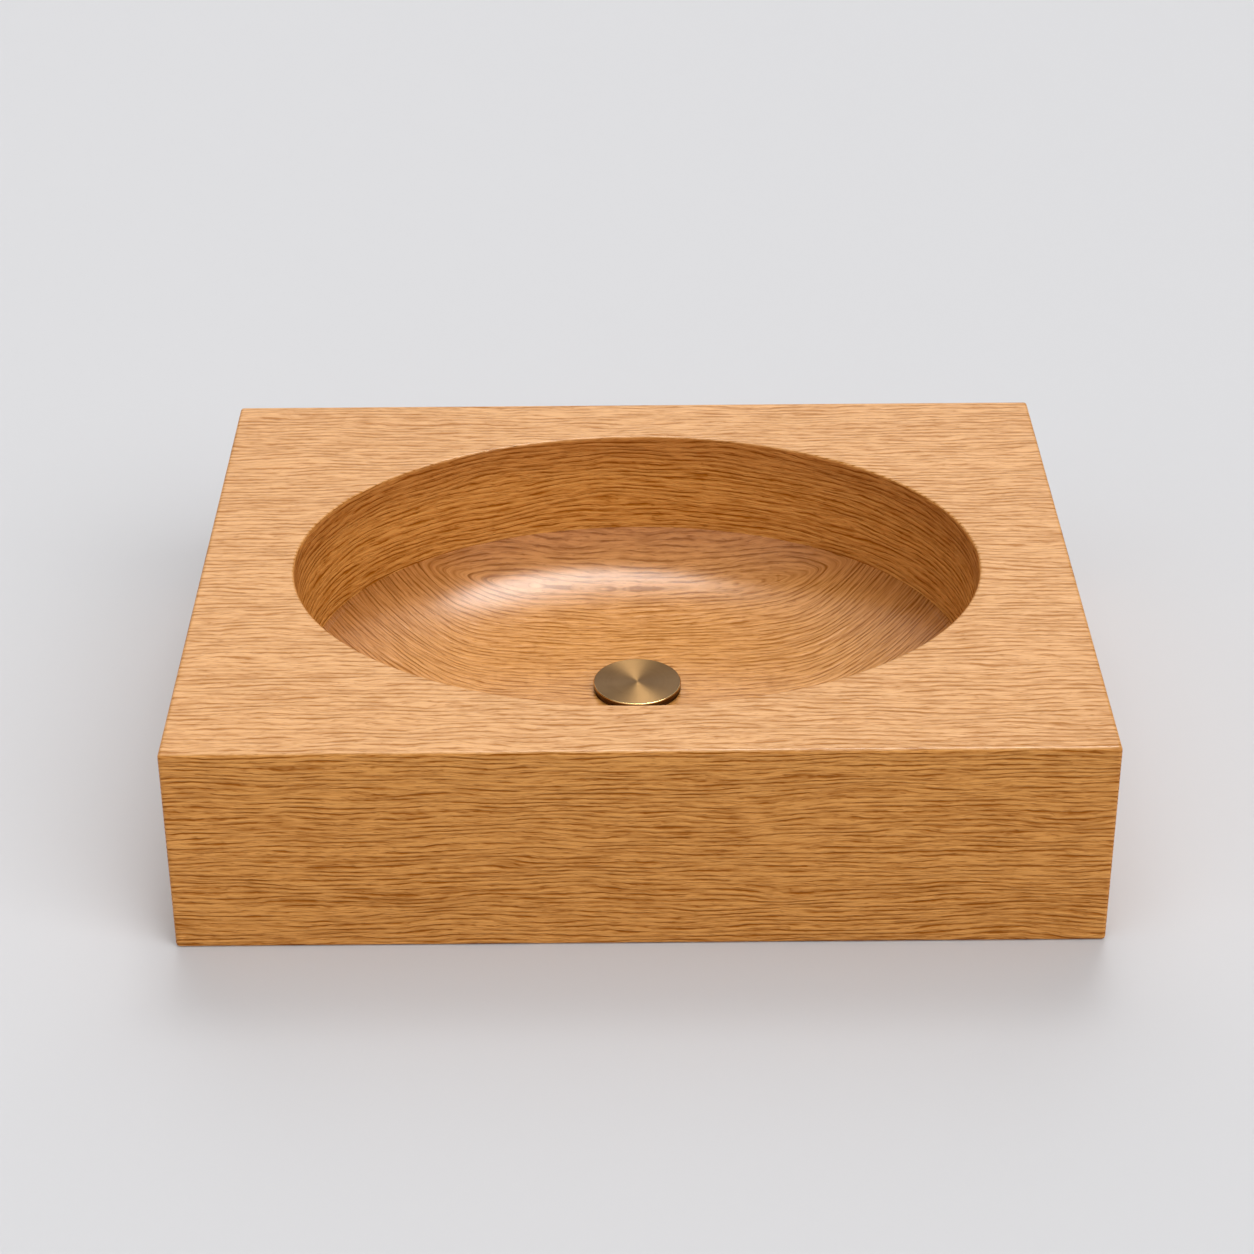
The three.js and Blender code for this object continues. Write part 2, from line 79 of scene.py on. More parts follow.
# %% Sizes
MM = 0.001
WIDTH, DEPTH, HEIGHT = cad_high - cad_low
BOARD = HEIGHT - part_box("deck_board")[0].z
SEAM_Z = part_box("bowl_wall")[0].z
BASE_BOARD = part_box("base_board")[1].z
ARRIS = 2.5 * MM
MOUTH_ROUND = 2 * MM
MITRE_GAP = 0.04 * MM
MOUTH_A = 217 * MM  # half length of the mouth
OVAL = 174 / 217  # its width over its length
SEAM_A = 210 * MM
WALL_THICKNESS = 14 * MM
print("boards", round(BOARD / MM), "mm, seam", round(SEAM_Z / MM), "mm up")

# %% [markdown]
# ## Camera
#
# A product shot of a low, wide piece is taken from a little way off with a long lens, so that the front
# and the back edge stay close to parallel, and from about thirty degrees up, so that both the mouth and
# the front face show. The camera is placed and turned by its angles, with no target object.

# %% Camera
LENS = 84.8
ELEVATION, AZIMUTH, ROLL = 30.31, 0.16, -0.36
STAND = (-0.011, -1.639, 1.044)  # where the camera stands
lens = bpy.data.cameras.new("camera")
lens.lens, lens.sensor_width = LENS, 36
camera = bpy.data.objects.new("camera", lens)
bpy.context.scene.collection.objects.link(camera)
turn = Euler((math.radians(90 - ELEVATION), 0, math.radians(-AZIMUTH))).to_matrix()
turn = turn @ Matrix.Rotation(math.radians(ROLL), 3, "Z")
camera.matrix_world = Matrix.Translation(STAND) @ turn.to_4x4()
bpy.context.scene.camera = camera
print("camera", LENS, "mm lens,", ELEVATION, "degrees up")

# %% [markdown]
# ## Helpers for working by hand
#
# An operator acts on whatever is selected, and loading the frame leaves everything selected. So each
# piece starts from an empty selection, is shaped in edit mode, and ends with its place in its mesh and
# its object at the origin. `pick` takes one piece in hand, `edit` opens it with all of it selected, and
# `done` closes it.

# %% Helpers
ops = bpy.ops


def fresh():
    """Back to object mode with nothing selected."""
    if bpy.context.object and bpy.context.object.mode != "OBJECT":
        ops.object.mode_set(mode="OBJECT")
    ops.object.select_all(action="DESELECT")


def pick(piece):
    """One piece selected and active, in object mode."""
    fresh()
    piece.select_set(True)
    bpy.context.view_layer.objects.active = piece


def edit(piece, mode="VERT"):
    pick(piece)
    ops.object.mode_set(mode="EDIT")
    ops.mesh.select_mode(type=mode)
    ops.mesh.select_all(action="SELECT")


def done(piece, name=None):
    """Leaves edit mode, and puts the piece's place into its mesh."""
    pick(piece)
    ops.object.transform_apply(location=True, rotation=True, scale=True)
    if name:
        piece.name = piece.data.name = name
    return piece


def copy_of(piece, name):
    pick(piece)
    ops.object.duplicate(linked=False)
    return done(bpy.context.object, name)


def remove(*pieces):
    fresh()
    for piece in pieces:
        piece.select_set(True)
    ops.object.delete()


def shift(piece, by):
    edit(piece)
    ops.transform.translate(value=by)
    return done(piece)


def faces_of(piece):
    return f"{piece.name}: {len(piece.data.polygons)} faces"


# %% Modifiers and solids
def modified(piece, kind, **settings):
    """A modifier with its settings, applied at once."""
    pick(piece)
    ops.object.modifier_add(type=kind)
    step = piece.modifiers[-1]
    for name, value in settings.items():
        setattr(step, name, value)
    ops.object.modifier_apply(modifier=step.name)
    return piece


def cut_with(piece, cutter, operation="DIFFERENCE"):
    """Takes the cutter's shape off the piece, or joins it on. The cutter is kept."""
    return modified(piece, "BOOLEAN", operation=operation, object=cutter, solver="EXACT")


def soften(piece, angle=32):
    """Smooth shading on curved faces, with the flat faces' normals kept true."""
    pick(piece)
    ops.object.shade_smooth_by_angle(angle=math.radians(angle))
    return modified(piece, "WEIGHTED_NORMAL", keep_sharp=True)


def block(name, size, centre):
    """A rectangular solid."""
    fresh()
    ops.mesh.primitive_cube_add(size=1, location=centre)
    made = bpy.context.object
    made.scale = size
    return done(made, name)


def rod(name, radius, low, high, vertices=96):
    """A round solid between two heights."""
    fresh()
    ops.mesh.primitive_cylinder_add(
        vertices=vertices, radius=radius, depth=high - low, location=(0, 0, (low + high) / 2)
    )
    return done(bpy.context.object, name)


def break_edges(piece, width, segments=2, **more):
    """Rounds every edge of a piece."""
    edit(piece, "EDGE")
    ops.mesh.bevel(offset=width, segments=segments, affect="EDGES", **more)
    fresh()


# %% [markdown]
# ## One blank for the whole case
#
# On the real case the arrises are rounded after the boards are glued, so one round runs over two boards
# and the mitre lies in its middle. Five boards that were rounded one by one would never meet so well.
# So a single block of the case's full size has all its edges bevelled once, and each board is then sawn
# out of a copy of it with bisect planes, as from a solid billet.

# %% Rounded blank
blank = block("blank", (WIDTH, DEPTH, HEIGHT), (0, 0, HEIGHT / 2))
break_edges(blank, ARRIS, segments=6)
print(faces_of(blank))


# %% [markdown]
# ## Sawing the boards
#
# A bisect plane has a point and a direction, and all that lies on the side it points to is thrown away
# and the cut closed. A mitre plane goes through an arris at forty-five degrees. The deck takes four of
# them and one level cut under it. An apron takes one against the deck, two against its neighbours and
# one upright cut behind.

# %% Deck and aprons
def saw(piece, cuts):
    edit(piece)
    for point, direction in cuts:
        ops.mesh.select_all(action="SELECT")
        ops.mesh.bisect(plane_co=point, plane_no=direction, use_fill=True, clear_outer=True)
    fresh()
    return piece


X, Y, Z = Vector((1, 0, 0)), Vector((0, 1, 0)), Vector((0, 0, 1))


def deck_board():
    board = copy_of(blank, "oak_deck_board")
    cuts = [((0, 0, HEIGHT - BOARD), -Z)]
    for way, reach in ((X, WIDTH / 2), (-X, WIDTH / 2), (Y, DEPTH / 2), (-Y, DEPTH / 2)):
        corner = way * reach + Z * HEIGHT
        out = (way - Z).normalized()
        cuts.append((corner - out * MITRE_GAP, out))
    return saw(board, cuts)


def apron(name, way, reach, side, side_reach):
    """An apron that faces a way, between two neighbours to its sides."""
    board = copy_of(blank, name)
    against_deck = (Z - way).normalized()
    cuts = [
        (way * (reach - BOARD), -way),
        (way * reach + Z * HEIGHT - against_deck * MITRE_GAP, against_deck),
    ]
    for hand in (side, -side):
        against = (hand - way).normalized()
        cuts.append((way * reach + hand * side_reach - against * MITRE_GAP, against))
    return saw(board, cuts)


deck = deck_board()
aprons = {
    "front_apron": apron("oak_front_apron", -Y, DEPTH / 2, X, WIDTH / 2),
    "back_apron": apron("oak_back_apron", Y, DEPTH / 2, X, WIDTH / 2),
    "left_apron": apron("oak_left_apron", -X, WIDTH / 2, Y, DEPTH / 2),
    "right_apron": apron("oak_right_apron", X, WIDTH / 2, Y, DEPTH / 2),
}
for board in (deck, *aprons.values()):
    print(faces_of(board))


# %% [markdown]
# ## Turning a profile into an oval
#
# The bowl is not round but oval, and a lathe only turns rounds. The way out is to spin a profile about
# the upright axis as a round, and then to squeeze it along one side. The profile is drawn by extruding
# one corner from point to point, the way one draws with vertices by hand.

# %% Profiles
def draw(points, name, closed=False):
    """An outline in the XZ plane, extruded from point to point."""
    fresh()
    ops.mesh.primitive_plane_add(size=MM, location=(0, 0, 0))
    outline = bpy.context.object
    edit(outline)
    ops.mesh.merge(type="CENTER")
    last = Vector((0, 0, 0))
    for i, (across, up) in enumerate(points):
        step = Vector((across, 0, up)) - last
        last = last + step
        if i == 0:
            ops.transform.translate(value=step)
        else:
            ops.mesh.extrude_region_move(TRANSFORM_OT_translate={"value": step})
    if closed:
        ops.mesh.select_all(action="SELECT")
        ops.mesh.edge_face_add()
        ops.mesh.delete(type="ONLY_FACE")
    return done(outline, name)


def spun(points, name, steps=160, oval=1.0, closed=False):
    """The outline spun about the upright axis, merged, turned face outwards and squeezed."""
    piece = draw(points, name, closed)
    edit(piece)
    ops.mesh.spin(steps=steps, angle=2 * math.pi, center=(0, 0, 0), axis=(0, 0, 1))
    ops.mesh.select_all(action="SELECT")
    ops.mesh.remove_doubles(threshold=1e-6)
    ops.mesh.normals_make_consistent(inside=False)
    ops.transform.resize(value=(1, oval, 1), center_override=(0, 0, 0))
    return done(piece)


def arc(centre, radius, start, end, steps):
    """Points on an arc in the XZ plane, angles in degrees from +X towards +Z."""
    turns = [math.radians(start + (end - start) * i / steps) for i in range(steps + 1)]
    return [(centre[0] + radius * math.cos(t), centre[1] + radius * math.sin(t)) for t in turns]


# %% [markdown]
# ## The mouth
#
# The deck and the wall ring meet in a mitre that runs from under the deck up to the mouth's arris, and
# the arris is rounded over both, as on the outside of the case. So two turned shapes do the work. One
# is the outside of the ring, filled up to the axis. The other is the open space of the bowl, with the
# round-over at its top. The deck loses both, and the ring is the first less the second.

# %% Wall ring and mouth
LEAN = (MOUTH_A - SEAM_A) / (HEIGHT - SEAM_Z)
ROUND_STEPS = 6
PAST = 1 * MM  # how far a cutter runs past what it cuts


def wall_at(z):
    return MOUTH_A - (HEIGHT - z) * LEAN


def ring_blank(name, foot, gap):
    under = HEIGHT - BOARD
    return spun(
        [
            (0, foot),
            (wall_at(foot) + WALL_THICKNESS + gap, foot),
            (wall_at(under) + WALL_THICKNESS + gap, under),
            (MOUTH_A + gap, HEIGHT),
            (0, HEIGHT),
        ],
        name,
        oval=OVAL,
    )


# the round-over, drawn in a little at its foot so that it flows into the leaning wall
rounding = arc((MOUTH_A + MOUTH_ROUND, HEIGHT - MOUTH_ROUND), MOUTH_ROUND, 180, 90, ROUND_STEPS)
rounding = [
    (x - MOUTH_ROUND * LEAN * (1 - i / ROUND_STEPS), z) for i, (x, z) in enumerate(rounding)
]
space = spun(
    [
        (0, SEAM_Z - PAST),
        (wall_at(SEAM_Z - PAST), SEAM_Z - PAST),
        *rounding,
        (MOUTH_A + MOUTH_ROUND, HEIGHT + PAST),
        (0, HEIGHT + PAST),
    ],
    "bowl_space",
    oval=OVAL,
)
mitre = ring_blank("ring_outside", HEIGHT - 2 * BOARD, MITRE_GAP)
cut_with(deck, mitre)
cut_with(deck, space)
ring = ring_blank("oak_bowl_wall", SEAM_Z, 0)
cut_with(ring, space)
remove(mitre, space, blank)
print(faces_of(deck), "/", faces_of(ring))

# %% [markdown]
# ## The dished floor
#
# The floor block is turned like a plate: level round the drain, and then rising ever steeper to the
# seam, so that water runs in from everywhere. A power curve gives that shape with two numbers. Its
# steps are fine, because a polished hollow shows every facet. The bore and the seat for the flange are
# true rounds, so they are cut after the squeeze.

# %% Bowl floor
DISH_POWER, DISH_STEPS = 3.6, 40
FLAT_RADIUS = 40 * MM
FLOOR_Z = 40 * MM
SEAT_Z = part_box("flange_gasket")[0].z
BORE_RADIUS = 22.5 * MM
SEAT_RADIUS = 28.2 * MM
BLOCK_EDGE = 15 * MM  # how thick the block is under the seam
BLOCK_SLOPE = 44 * MM  # and how far it draws in from there to the base board
dish = []
for i in range(DISH_STEPS + 1):
    share = i / DISH_STEPS
    radius = FLAT_RADIUS + (SEAM_A - FLAT_RADIUS) * share
    dish.append((radius, FLOOR_Z + (SEAM_Z - FLOOR_Z) * share**DISH_POWER))
outer = SEAM_A + WALL_THICKNESS
floor = spun(
    [
        (0, BASE_BOARD),
        (outer - BLOCK_SLOPE, BASE_BOARD),
        (outer, SEAM_Z - BLOCK_EDGE),
        (outer, SEAM_Z),
        *reversed(dish),
        (0, FLOOR_Z),
    ],
    "oak_bowl_floor",
    oval=OVAL,
)
for name, radius, low in (("bore", BORE_RADIUS, 0), ("seat", SEAT_RADIUS, SEAT_Z)):
    cutter = rod(name, radius, low, SEAM_Z)
    cut_with(floor, cutter)
    remove(cutter)
print(faces_of(floor))

# %% [markdown]
# ## Shading that keeps the flats flat
#
# Smooth shading over a whole board would make its flat faces look pillowed next to the rounded arrises.
# Shading smooth by angle keeps the saw cuts sharp, and weighted normals let the big flat faces win over
# the narrow strips of the round, so the flats stay flat and the light rolls only over the arris.

# %% Soft shading for the oak
for piece in (deck, *aprons.values(), ring, floor):
    soften(piece)

# %% [markdown]
# ## The cover disc
#
# The cap is a turned brass disc with a bronze finish: flat on top with a brushed face, a narrow bright
# bevel, and a straight side that throws a dark line under it. It is spun from one half profile, with
# the boss and the seal's groove on its underside, and its corners are broken with small extra steps,
# because a knife-sharp corner never catches the light.

# %% Drain cap
cap_low, cap_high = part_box("drain_cap")
CAP_RADIUS = cap_high.x
CAP_TOP = cap_high.z
CAP_UNDER = CAP_TOP - 3 * MM
BEVEL = 0.7 * MM
SOCKET, SOCKET_DEPTH = 3.3 * MM, 5.3 * MM  # the hole that the plunger's stem screws into
STUB = 6.5 * MM  # the round boss with that hole
BROKEN = 0.4 * MM  # corners broken by this much
seal_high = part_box("cap_seal")[1]
groove_outer, groove_inner = seal_high.x + 0.2 * MM, seal_high.x - 2.8 * MM
cap = spun(
    [
        (0, cap_low.z + SOCKET_DEPTH),
        (SOCKET, cap_low.z + SOCKET_DEPTH),
        (SOCKET, cap_low.z + BROKEN),
        (SOCKET + BROKEN, cap_low.z),
        (STUB - BROKEN, cap_low.z),
        (STUB, cap_low.z + BROKEN),
        (STUB, CAP_UNDER),
        (groove_inner, CAP_UNDER),
        (groove_inner, seal_high.z),
        (groove_outer, seal_high.z),
        (groove_outer, CAP_UNDER),
        (CAP_RADIUS - 0.3 * MM, CAP_UNDER),
        (CAP_RADIUS - 0.08 * MM, CAP_UNDER + 0.1 * MM),
        (CAP_RADIUS, CAP_UNDER + 0.3 * MM),
        *arc((CAP_RADIUS - BEVEL, CAP_TOP - BEVEL), BEVEL, 0, 90, 6),
        (0, CAP_TOP),
    ],
    "bronze_drain_cap",
    steps=128,
)
soften(cap, 30)
print(faces_of(cap))

# %% [markdown]
# ## A helical thread
#
# A thread is one tooth wound round the axis. The SCREW modifier does exactly that: it sweeps an outline
# about the axis and lifts it by one pitch in every turn. The tooth is a closed outline with a narrow
# crest, whose foot lies a hair inside the shank, so the winding sits on the shank like a wire. Its two
# open ends are filled.

# %% Thread
def thread(name, root, crest, low, high, pitch, steps=48):
    """A winding of one tooth on a shank, between two heights."""
    half = pitch * 0.44  # of the tooth's width at its foot
    inside = root - 0.1 * MM
    tooth = [
        (inside, low),
        (crest, low + half * 0.8),
        (crest, low + half * 1.2),
        (inside, low + 2 * half),
    ]
    winding = draw(tooth, name, closed=True)
    turns = int((high - low) / pitch) - 1
    sweep = {"axis": "Z", "screw_offset": pitch, "iterations": turns}
    modified(winding, "SCREW", **sweep, steps=steps, render_steps=steps)
    edit(winding, "EDGE")
    ops.mesh.remove_doubles(threshold=1e-6)
    ops.mesh.fill_holes(sides=8)
    ops.mesh.select_all(action="SELECT")
    ops.mesh.normals_make_consistent(inside=False)
    return done(winding)


# %% [markdown]
# ## The waste under the cap
#
# The waste is a short brass tube with a flange that lies in the bowl's floor, a cross of three arms
# inside that carries the press cartridge, and a thread outside for the back nut. Tube and flange are one
# turned profile with a chamfered mouth, where the seal closes. The boss and the arms are joined to it
# with booleans, and the boss is bored last, so that no arm is left in its bore.

# %% Waste body
waste_low, waste_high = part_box("waste_body")
TAIL_RADIUS, TAIL_BORE, TAIL_END = 20.8 * MM, 18.4 * MM, waste_low.z
FLANGE_RADIUS, FLANGE_TOP = waste_high.x, waste_high.z
FLANGE_LOW = FLANGE_TOP - 2 * MM
CORE = TAIL_RADIUS - 0.7 * MM  # the tail between the turns of its thread
THREAD_TOP, PITCH = 30 * MM, 1.8 * MM
waste = spun(
    [
        (TAIL_BORE, TAIL_END + 0.4 * MM),
        (TAIL_BORE + 0.4 * MM, TAIL_END),
        (CORE - 0.5 * MM, TAIL_END),
        (CORE, TAIL_END + 0.5 * MM),
        (CORE, THREAD_TOP),
        (TAIL_RADIUS, THREAD_TOP + 0.7 * MM),
        (TAIL_RADIUS, FLANGE_LOW),
        (FLANGE_RADIUS - 0.3 * MM, FLANGE_LOW),
        (FLANGE_RADIUS, FLANGE_LOW + 0.3 * MM),
        (FLANGE_RADIUS, FLANGE_TOP - 0.7 * MM),
        (FLANGE_RADIUS - 0.2 * MM, FLANGE_TOP - 0.2 * MM),
        (FLANGE_RADIUS - 0.7 * MM, FLANGE_TOP),
        (TAIL_BORE + 2.5 * MM, FLANGE_TOP),
        (TAIL_BORE + 2.1 * MM, FLANGE_TOP - 0.15 * MM),
        (TAIL_BORE + 0.1 * MM, FLANGE_TOP - 2.1 * MM),
        (TAIL_BORE, FLANGE_TOP - 2.4 * MM),
    ],
    "bronze_waste_body",
    steps=96,
    closed=True,
)

# %% The cross that carries the cartridge
BOSS_LOW, BOSS_TOP, BOSS_RADIUS, BOSS_BORE = 20 * MM, 26 * MM, 9.5 * MM, 7.3 * MM
ARM = 4 * MM  # square
reach = TAIL_BORE + 1.2 * MM  # into the tube's wall
for i in range(3):
    arm = block("arm", (ARM, reach, ARM), (0, reach / 2, BOSS_LOW + ARM / 2))
    break_edges(arm, 0.5 * MM)
    edit(arm)
    ops.transform.rotate(value=math.radians(120 * i), orient_axis="Z", center_override=(0, 0, 0))
    cut_with(waste, done(arm), "UNION")
    remove(arm)
boss = rod("boss", BOSS_RADIUS, BOSS_LOW, BOSS_TOP, 48)
break_edges(boss, BROKEN, clamp_overlap=True)
boss_bore = rod("boss_bore", BOSS_BORE, BOSS_LOW - PAST, BOSS_TOP + PAST, 48)
cut_with(waste, boss, "UNION")
cut_with(waste, boss_bore)
remove(boss, boss_bore)
crest = TAIL_RADIUS - 0.05 * MM
tail_thread = thread(
    "bronze_tail_thread", CORE, crest, TAIL_END + 0.8 * MM, THREAD_TOP, PITCH, steps=72
)
for piece in (waste, tail_thread):
    soften(piece)
print(faces_of(waste), "/", faces_of(tail_thread))

# %% [markdown]
# ## Seals, washer and nut
#
# Four rings close the waste: the seal in the cap's groove, a thin gasket under the flange, a thick one
# under the bowl's block, and a plastic slip washer that keeps the nut from dragging that one round. Each
# is one small outline with broken corners, spun about the axis. The nut starts as a six-sided rod, loses
# its corners where a turned cone meets it, and is bored with a small chamfer at the bore's mouth.

# %% Seals and washer
def ring_of(name, node, inner, broken):
    """A ring in the box of a CAD node, with its corners broken."""
    low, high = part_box(node)
    outer, low, high = high.x, low.z, high.z
    outline = [
        (inner, low + broken),
        (inner + broken, low),
        (outer - broken, low),
        (outer - broken * 0.3, low + broken * 0.3),
        (outer, low + broken),
        (outer, high - broken),
        (outer - broken * 0.3, high - broken * 0.3),
        (outer - broken, high),
        (inner + broken, high),
        (inner, high - broken),
    ]
    return soften(spun(outline, name, steps=96, closed=True), 40)


ON_TAIL = TAIL_RADIUS + 0.3 * MM  # the bore of what slides on the tail
flange_gasket = ring_of("rubber_flange_gasket", "flange_gasket", BORE_RADIUS, 0.3 * MM)
lower_gasket = ring_of("rubber_lower_gasket", "lower_gasket", ON_TAIL, 0.6 * MM)
slip_washer = ring_of("white_slip_washer", "slip_washer", ON_TAIL, 0.25 * MM)
cap_seal = ring_of("rubber_cap_seal", "cap_seal", groove_inner + 0.2 * MM, 0.8 * MM)
print(faces_of(cap_seal))

# %% Back nut
nut_low, nut_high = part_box("back_nut")
CORNER, FLATS = nut_high.y, nut_high.x
nut = rod("brass_back_nut", CORNER, nut_low.z, nut_high.z, 6)
LIP = CORNER + 1 * MM
for name, outline, how in (
    (
        "turned_nut",
        [
            (0, nut_low.z),
            (FLATS, nut_low.z),
            (LIP, nut_low.z + (LIP - FLATS) / 2),
            (LIP, nut_high.z - 0.6 * MM),
            (FLATS + 1 * MM, nut_high.z),
            (0, nut_high.z),
        ],
        "INTERSECT",
    ),
    (
        "nut_bore",
        [
            (0, nut_low.z - PAST),
            (TAIL_RADIUS + 1.9 * MM, nut_low.z - PAST),
            (ON_TAIL, nut_low.z + 0.6 * MM),
            (ON_TAIL, nut_high.z + PAST),
            (0, nut_high.z + PAST),
        ],
        "DIFFERENCE",
    ),
):
    cutter = spun(outline, name, steps=96)
    cut_with(nut, cutter, how)
    remove(cutter)
soften(nut, 20)
print(faces_of(nut))

# %% [markdown]
# ## Base board and screws
#
# The base board closes the box from below and can be taken off, so it is screwed and not glued. It is a
# plain board with softened edges, a large hole that leaves room for a spanner round the nut, and four
# countersinks. One screw is made in full, with its cone, its cross recess, its thread and its point, and
# the other three are copies of it.

# %% Base board
base_low, base_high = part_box("base_board")
base = block("oak_base_board", base_high - base_low, (0, 0, (base_low.z + base_high.z) / 2))
break_edges(base, 0.8 * MM)
ACCESS = 50 * MM  # radius of the hole round the nut
hole = spun(
    [
        (0, -PAST),
        (ACCESS + 2 * PAST, -PAST),
        (ACCESS, PAST),
        (ACCESS, BASE_BOARD - PAST),
        (ACCESS + 2 * PAST, BASE_BOARD + PAST),
        (0, BASE_BOARD + PAST),
    ],
    "access_hole",
    steps=96,
)
cut_with(base, hole)
remove(hole)
print(faces_of(base))

# %% One screw
HEAD, SHANK, SINK, LENGTH = 4 * MM, 2 * MM, 2.8 * MM, 35 * MM
ROOT = SHANK - 0.5 * MM  # between the turns of the thread
screw = spun(
    [
        (0, 0.05 * MM),
        (HEAD - 0.25 * MM, 0.05 * MM),
        (HEAD, 0.25 * MM),
        (SHANK, SINK),
        (SHANK, 9 * MM),
        (ROOT, 10 * MM),
        (ROOT, LENGTH - 5 * MM),
        (0, LENGTH),
    ],
    "steel_base_screw",
    steps=32,
)
SLOT, SLOT_LENGTH, SLOT_DEPTH = 0.9 * MM, 4 * MM, 1.4 * MM
for size in ((SLOT_LENGTH, SLOT), (SLOT, SLOT_LENGTH)):
    driver = block("recess", (*size, SLOT_DEPTH + PAST), (0, 0, (SLOT_DEPTH - PAST) / 2))
    break_edges(driver, 0.15 * MM)
    cut_with(screw, driver)
    remove(driver)
winding = thread("screw_thread", ROOT, SHANK, 9.5 * MM, LENGTH - 4.5 * MM, 1.7 * MM, steps=24)
pick(screw)
winding.select_set(True)
ops.object.join()
soften(done(screw), 35)
print(faces_of(screw))

# %% Four screws and their countersinks
SLACK = 0.3 * MM
screws = []
for i in range(1, 5):
    low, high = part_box(f"base_screw_{i}")
    spot = ((low.x + high.x) / 2, (low.y + high.y) / 2, 0)
    screws.append(shift(copy_of(screw, f"steel_base_screw_{i}"), spot))
    sink = spun(
        [
            (0, -PAST),
            (HEAD + SLACK, -PAST),
            (HEAD + SLACK, 0),
            (SHANK + SLACK, SINK),
            (SHANK + SLACK, BASE_BOARD + PAST),
            (0, BASE_BOARD + PAST),
        ],
        "countersink",
        steps=32,
    )
    cut_with(base, shift(sink, spot))
    remove(sink)
remove(screw)
soften(base)
print(faces_of(base), "/", faces_of(screws[0]))

# %% [markdown]
# ## How oak shows its grain
#
# A board is cut through the tree's growth layers. Each layer ends in a thin line of dense, dark wood,
# and where the saw meets the layers they show as lines: near straight along a quartered face, in arches
# on a flat-sawn one. So the pattern can be made from one number, the place across the layers: the
# fraction that is left after dividing it by the layers' spacing says how far a point is through its
# layer. Bending that number with noise, slowly for the sway of the trunk and quickly for the ripple of
# brushed oak, bends every line at once, and they still never cross. The same lines sink into the
# surface, because brushing takes the softer wood out between them.
#
# First come a few helpers, so that each step of the pattern is one line.

# %% Node helpers
def tree_node(tree, kind, sockets=None, **settings):
    """A shader node, with its settings, and its sockets set to values or linked."""
    made = tree.nodes.new("ShaderNode" + kind)
    for name, value in settings.items():
        setattr(made, name, value)
    for name, value in (sockets or {}).items():
        if isinstance(value, bpy.types.NodeSocket):
            tree.links.new(value, made.inputs[name])
        else:
            made.inputs[name].default_value = value
    return made


def maths(tree, what, *values, clamp=False):
    sockets = dict(enumerate(values))
    return tree_node(tree, "Math", sockets, operation=what, use_clamp=clamp).outputs[0]


def scaled(tree, vector, by):
    """A vector times another, part by part."""
    return tree_node(tree, "VectorMath", {0: vector, 1: by}, operation="MULTIPLY").outputs[0]


def noise(tree, vector, detail=0.0, rough=0.5, seed=0.0):
    """Noise about zero, from -1 to 1 at most."""
    sockets = {"Vector": vector, "W": seed, "Scale": 1.0, "Detail": detail, "Roughness": rough}
    fac = tree_node(tree, "TexNoise", sockets, noise_dimensions="4D").outputs["Fac"]
    return maths(tree, "MULTIPLY_ADD", fac, 2.0, -1.0)


def drawn_out(tree, vector, along, across, detail, rough, seed):
    """Noise in patches of one length along the fibres and another across the layers."""
    stretch = (1 / along, 1 / across, 1 / along)
    return noise(tree, scaled(tree, vector, stretch), detail, rough, seed)


def ramp(tree, value, low, high):
    """A smooth step from 0 at low to 1 at high."""
    sockets = {"Value": value, "From Min": low, "From Max": high}
    return tree_node(tree, "MapRange", sockets, interpolation_type="SMOOTHSTEP").outputs[0]


def mixed(tree, share, first, second, how="MIX"):
    """Two colours mixed. Sockets 6, 7 and 2 are the Mix node's colours."""
    sockets = {0: share, 6: first, 7: second}
    return tree_node(tree, "Mix", sockets, data_type="RGBA", blend_type=how).outputs[2]


# %% Groups and colours
def group(name, inputs, outputs):
    """An empty node group with its sockets, given as name: default."""
    made = bpy.data.node_groups.new(name, "ShaderNodeTree")
    kinds = {float: "NodeSocketFloat", tuple: "NodeSocketColor", Vector: "NodeSocketVector"}
    for label, value in inputs.items():
        socket = made.interface.new_socket(label, in_out="INPUT", socket_type=kinds[type(value)])
        socket.default_value = value
    for label, value in outputs.items():
        made.interface.new_socket(label, in_out="OUTPUT", socket_type=kinds[type(value)])
    return made, made.nodes.new("NodeGroupInput").outputs, made.nodes.new("NodeGroupOutput").inputs


def hue(red, green, blue):
    """A colour as a screen shows it, from 0 to 255, made linear for the shaders."""
    shares = [c / 255 for c in (red, green, blue)]
    return tuple(s / 12.92 if s <= 0.04045 else ((s + 0.055) / 1.055) ** 2.4 for s in shares) + (1.0,)


# %% [markdown]
# ## The oak group
#
# The group works in millimetres on a vector whose X runs along the fibres, Y across the layers and Z
# into the board. From the place across it makes the dark lines, the pale ridges beside them, finer
# streaks, pores and bundles of darker layers. It puts out a colour, a roughness and a height, and a Shade
# value multiplies painted shade into the colour, as under a rim or down towards the bowl's seam.

# %% Oak grain group
grain, given, gives = group(
    "oak_grain",
    {
        "Vector": Vector((0, 0, 0)),
        "Spacing": 5.0,
        "Sway": 5.0,
        "Ripple": 0.28,
        "Light": hue(240, 190, 130),
        "Dark": hue(150, 95, 45),
        "Lines": 1.0,
        "Streaks": 1.0,
        "Bands": 1.0,
        "Shade": 0.0,
        "Seed": 0.0,
    },
    {"Color": hue(0, 0, 0), "Roughness": 0.0, "Height": 0.0},
)
t = grain
place = scaled(t, given["Vector"], (1000, 1000, 1000))  # in millimetres
seed = given["Seed"]
along = scaled(t, place, (1, 0, 1))


def beside(layer):
    """The place with its Y counted in layers, so that noise follows them."""
    steps = tree_node(t, "CombineXYZ", {"Y": layer}).outputs[0]
    return tree_node(t, "VectorMath", {0: along, 1: steps}, operation="ADD").outputs[0]


